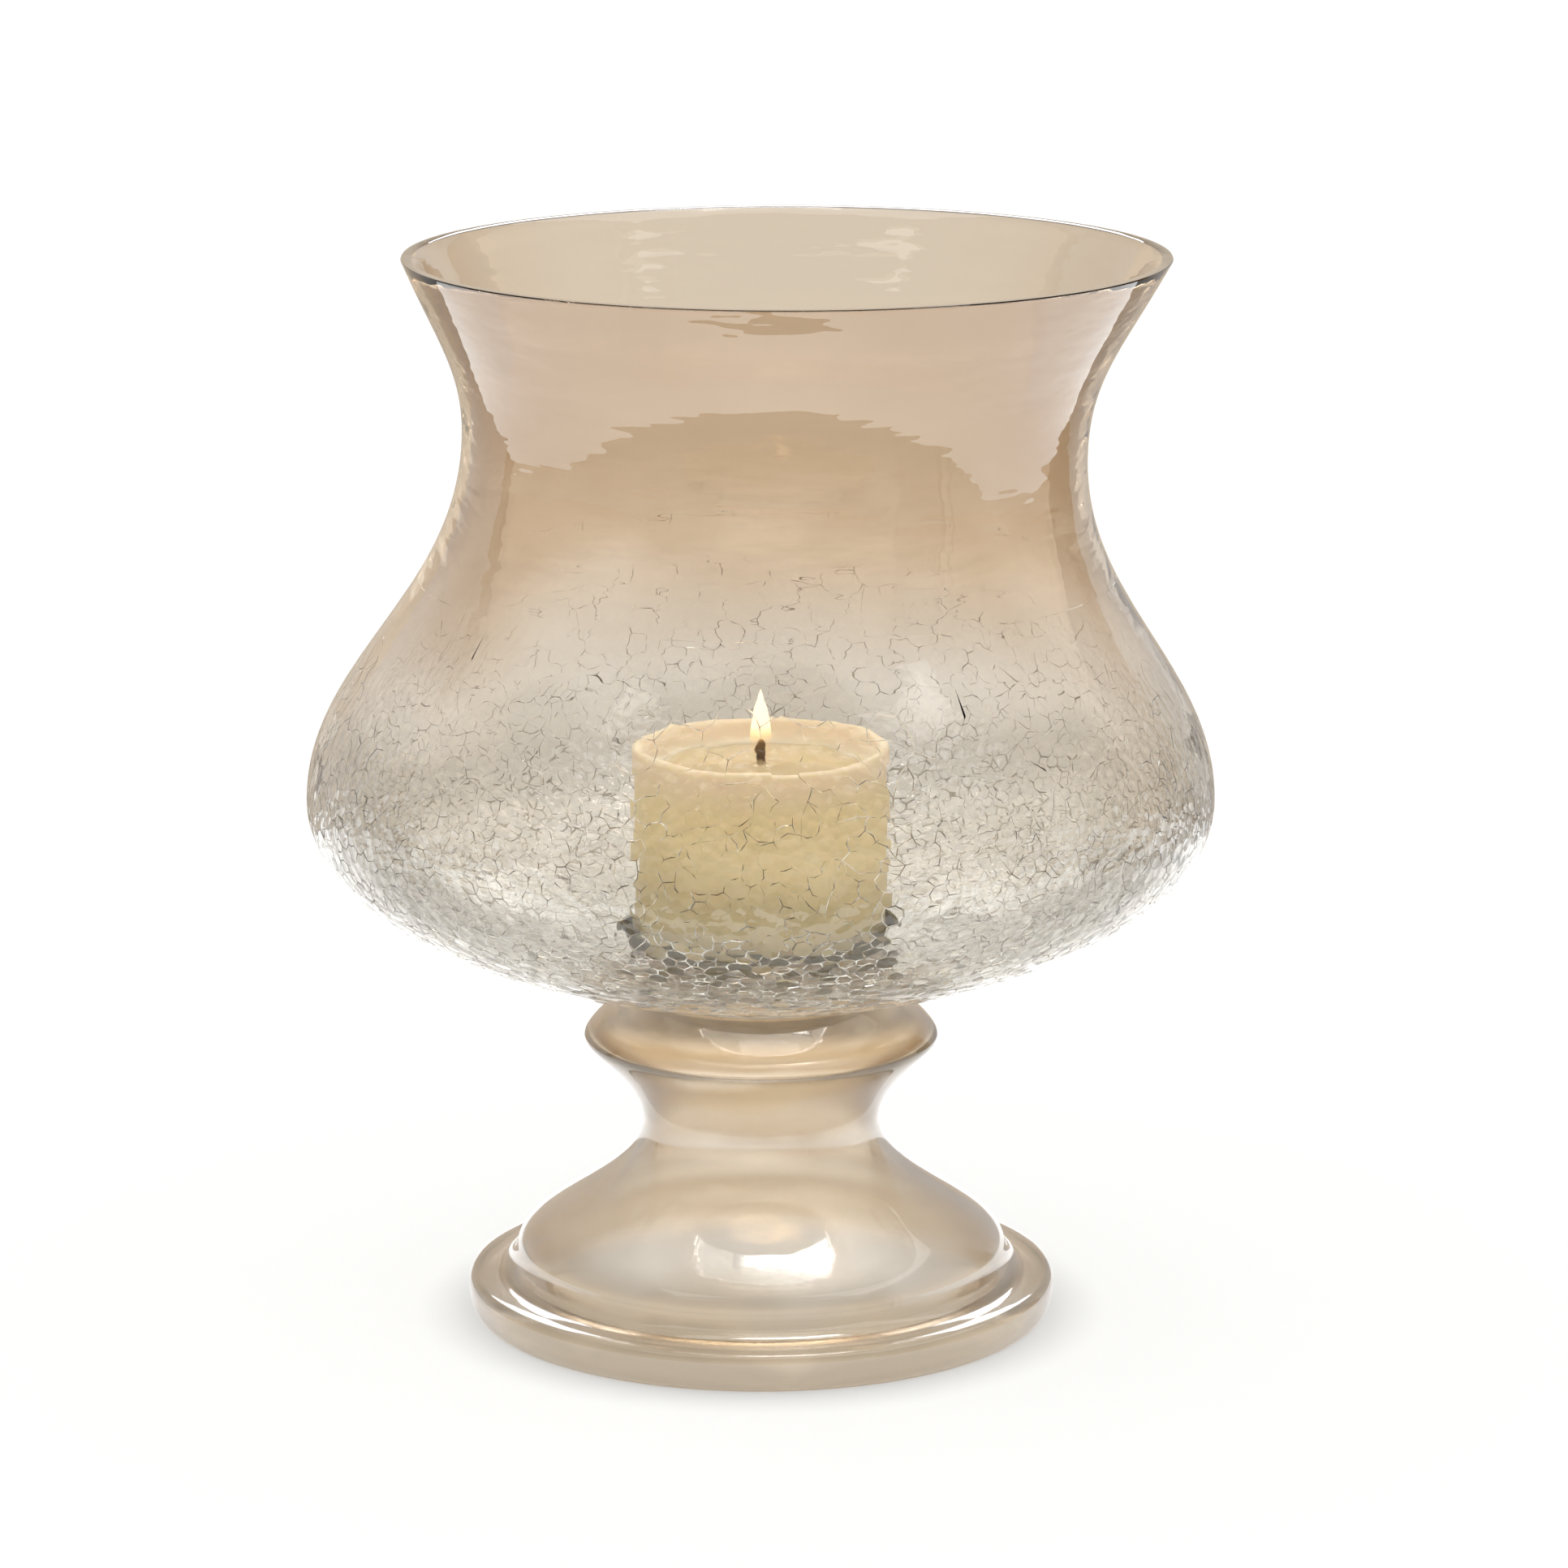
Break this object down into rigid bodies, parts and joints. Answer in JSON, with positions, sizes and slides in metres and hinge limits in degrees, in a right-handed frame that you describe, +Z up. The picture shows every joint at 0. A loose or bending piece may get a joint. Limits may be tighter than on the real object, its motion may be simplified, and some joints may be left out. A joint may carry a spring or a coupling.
{
  "type": "hurricane candle lantern",
  "caption": "Footed hurricane lantern: a wide amber glass bowl, crackled below, with a flared mouth on a hollow glass pedestal, holding a pillar candle on a metal plate.",
  "frame": {"origin": "on the pedestal's axis, on the surface that the lantern stands on", "axes": "+Z up along the pedestal's axis; the mouth leans slightly to +X, and the pictured side faces -Y"},
  "size_m": [0.2536, 0.2536, 0.3008],
  "materials": {
    "amber_crackle_glass": "pale amber lustre, fading to clear crackle below",
    "amber_glass": "pale amber lustre, smooth",
    "clear_adhesive": "clear, cured",
    "dark_plate_metal": "dark bronze lacquer",
    "ivory_wax": "waxy, translucent",
    "liquid_wax": "wet",
    "wick_cotton": "braided cotton, charred",
    "tinned_steel": "tinplate",
    "flame": "glowing"
  },
  "bodies": {
    "glass": {"glass_pedestal": "amber_glass", "bond_ring": "clear_adhesive", "glass_shade": "amber_crackle_glass"},
    "plate": {"candle_plate": "dark_plate_metal"},
    "candle": {"wax_pillar": "ivory_wax", "melt_pool": "liquid_wax", "wick": "wick_cotton", "wick_tab": "tinned_steel"}
  },
  "joints": [
    {"name": "plate_lift", "type": "slide", "parent": "glass", "child": "plate", "axis": [0, 0, 1], "range_m": [0, 0.21]},
    {"name": "candle_lift", "type": "slide", "parent": "plate", "child": "candle", "axis": [0, 0, 1], "range_m": [0, 0.21]}
  ]
}
